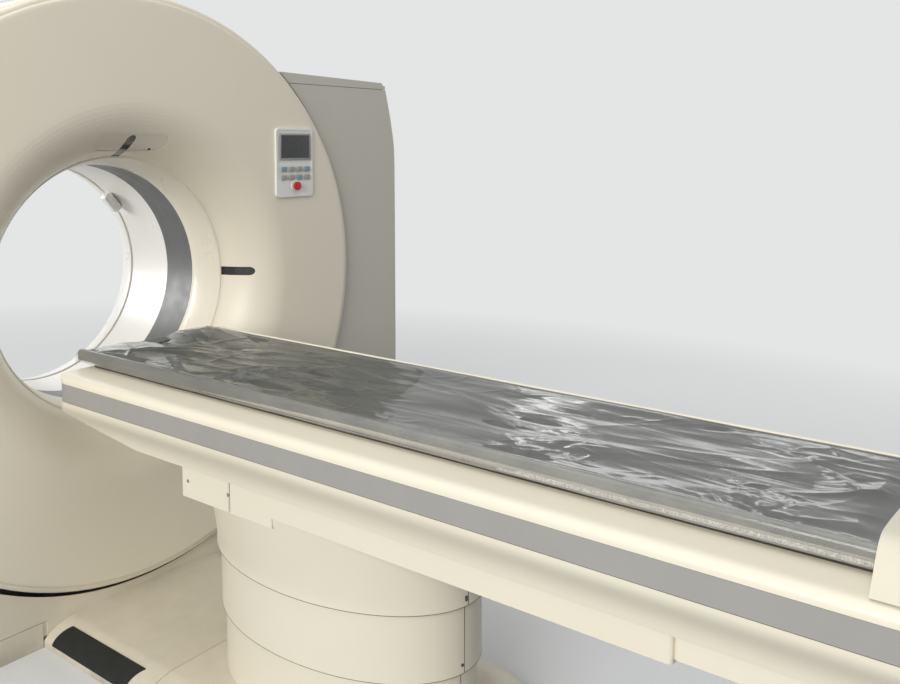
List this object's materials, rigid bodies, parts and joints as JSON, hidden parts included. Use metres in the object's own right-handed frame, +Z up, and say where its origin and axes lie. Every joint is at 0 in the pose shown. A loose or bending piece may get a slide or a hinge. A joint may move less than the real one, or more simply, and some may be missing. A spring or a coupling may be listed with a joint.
{
  "type": "ct scanner",
  "caption": "Medical CT scanner: a round tilting gantry with a wide bore between two stands, and a sliding patient table on a telescoping oval pedestal.",
  "frame": {"origin": "the point on the floor below the isocentre, which is the middle of the gantry's four floor anchor holes", "axes": "+Z up; +Y along the bore axis from the patient table's side to the rear of the gantry; +X to the right as seen from the patient table's side, along the tilt axis"},
  "size_m": [2.5358, 3.23, 1.955],
  "materials": {
    "cover_cream": "satin moulded cover",
    "cover_pale": "satin moulded cover",
    "stand_grey": "satin moulded cover",
    "trim_grey": "fine textured trim",
    "accent_coral": "coloured strip",
    "window_dark": "tinted film window",
    "laser_glass": "dark tinted window",
    "pad_rubber": "textured rubber",
    "panel_pale": "membrane panel",
    "button_red": "moulded button",
    "frame_steel": "painted welded steel",
    "bearing_steel": "ground bearing steel",
    "machine_grey": "cast housing",
    "copper_ring": "slip ring tracks",
    "motor_dark": "painted motor housing",
    "belt_black": "ribbed belt",
    "mattress_grey": "foam mattress under a clear film cover"
  },
  "bodies": {
    "root": {"base_frame": "frame_steel", "left_stand_frame": "frame_steel", "right_stand_frame": "frame_steel", "left_stand_cover": "stand_grey", "right_stand_cover": "stand_grey", "left_stand_cap": "stand_grey", "right_stand_cap": "stand_grey", "toe_covers": "cover_cream", "plinth_front_cover": "cover_cream", "plinth_rear_cover": "cover_cream", "tilt_gearmotor": "motor_dark", "bridge_cover": "cover_cream", "grip_pads": "pad_rubber", "table_base_frame": "frame_steel", "pedestal_base_cover": "cover_cream", "pedestal_section_lower": "cover_cream", "lift_mast_outer": "frame_steel", "lift_cylinder": "motor_dark"},
    "gantry": {"tilt_frame": "frame_steel", "front_cover": "cover_cream", "rim_trim": "cover_cream", "accent_strip": "accent_coral", "side_band": "cover_cream", "rear_cover": "cover_cream", "scan_window": "window_dark", "rear_liner": "cover_pale", "bore_pod": "cover_pale", "status_panel": "panel_pale", "laser_windows": "laser_glass", "left_control_panel": "panel_pale", "right_control_panel": "panel_pale", "main_bearing_outer": "bearing_steel", "rotor_motor": "motor_dark", "drive_belt": "belt_black", "brush_block": "motor_dark"},
    "rotor": {"rotor_drum": "frame_steel", "main_bearing_inner": "bearing_steel", "slip_ring": "copper_ring", "xray_tube": "machine_grey", "collimator": "machine_grey", "hv_generator": "machine_grey", "tube_cooler": "machine_grey", "detector_arc": "machine_grey", "counterweights": "frame_steel"},
    "pulley": {"drive_pulley": "bearing_steel"},
    "left_stop": {"left_stop_button": "button_red"},
    "right_stop": {"right_stop_button": "button_red"},
    "mid_stage": {"pedestal_section_mid": "cover_cream", "lift_mast_mid": "frame_steel"},
    "lift": {"pedestal_section_upper": "cover_cream", "lift_mast_inner": "frame_steel", "carriage_frame": "frame_steel", "under_box_covers": "cover_cream", "carrier_top_cover": "cover_cream", "carrier_side_band": "trim_grey", "carrier_lower_cover": "cover_cream"},
    "sliding_top": {"tabletop": "cover_cream", "end_grip": "cover_pale", "mattress": "mattress_grey"}
  },
  "joints": [
    {"name": "gantry_tilt", "type": "hinge", "parent": "root", "child": "gantry", "pos_m": [0, 0, 1.03], "axis": [-1, 0, 0], "range_deg": [-20, 10]},
    {"name": "rotor_spin", "type": "hinge", "parent": "gantry", "child": "rotor", "pos_m": [0, 0, 1.03], "axis": [0, 1, 0], "continuous": true},
    {"name": "pulley_spin", "type": "hinge", "parent": "gantry", "child": "pulley", "pos_m": [0.59751, 0, 0.43249], "axis": [0, 1, 0], "continuous": true},
    {"name": "table_lift", "type": "slide", "parent": "root", "child": "lift", "axis": [0, 0, 1], "range_m": [-0.28, 0.025]},
    {"name": "mid_stage_lift", "type": "slide", "parent": "root", "child": "mid_stage", "axis": [0, 0, 1], "range_m": [-0.14, 0.0125]},
    {"name": "tabletop_slide", "type": "slide", "parent": "lift", "child": "sliding_top", "axis": [0, 1, 0], "range_m": [0, 1.6]},
    {"name": "left_stop_press", "type": "slide", "parent": "gantry", "child": "left_stop", "axis": [0, 1, 0], "range_m": [0, 0.004], "stiffness_N_per_m": 600},
    {"name": "right_stop_press", "type": "slide", "parent": "gantry", "child": "right_stop", "axis": [0, 1, 0], "range_m": [0, 0.004], "stiffness_N_per_m": 600}
  ],
  "couplings": [
    {"joint": "pulley_spin", "follows": "rotor_spin", "ratio": 21.389},
    {"joint": "mid_stage_lift", "follows": "table_lift", "ratio": 0.5}
  ]
}
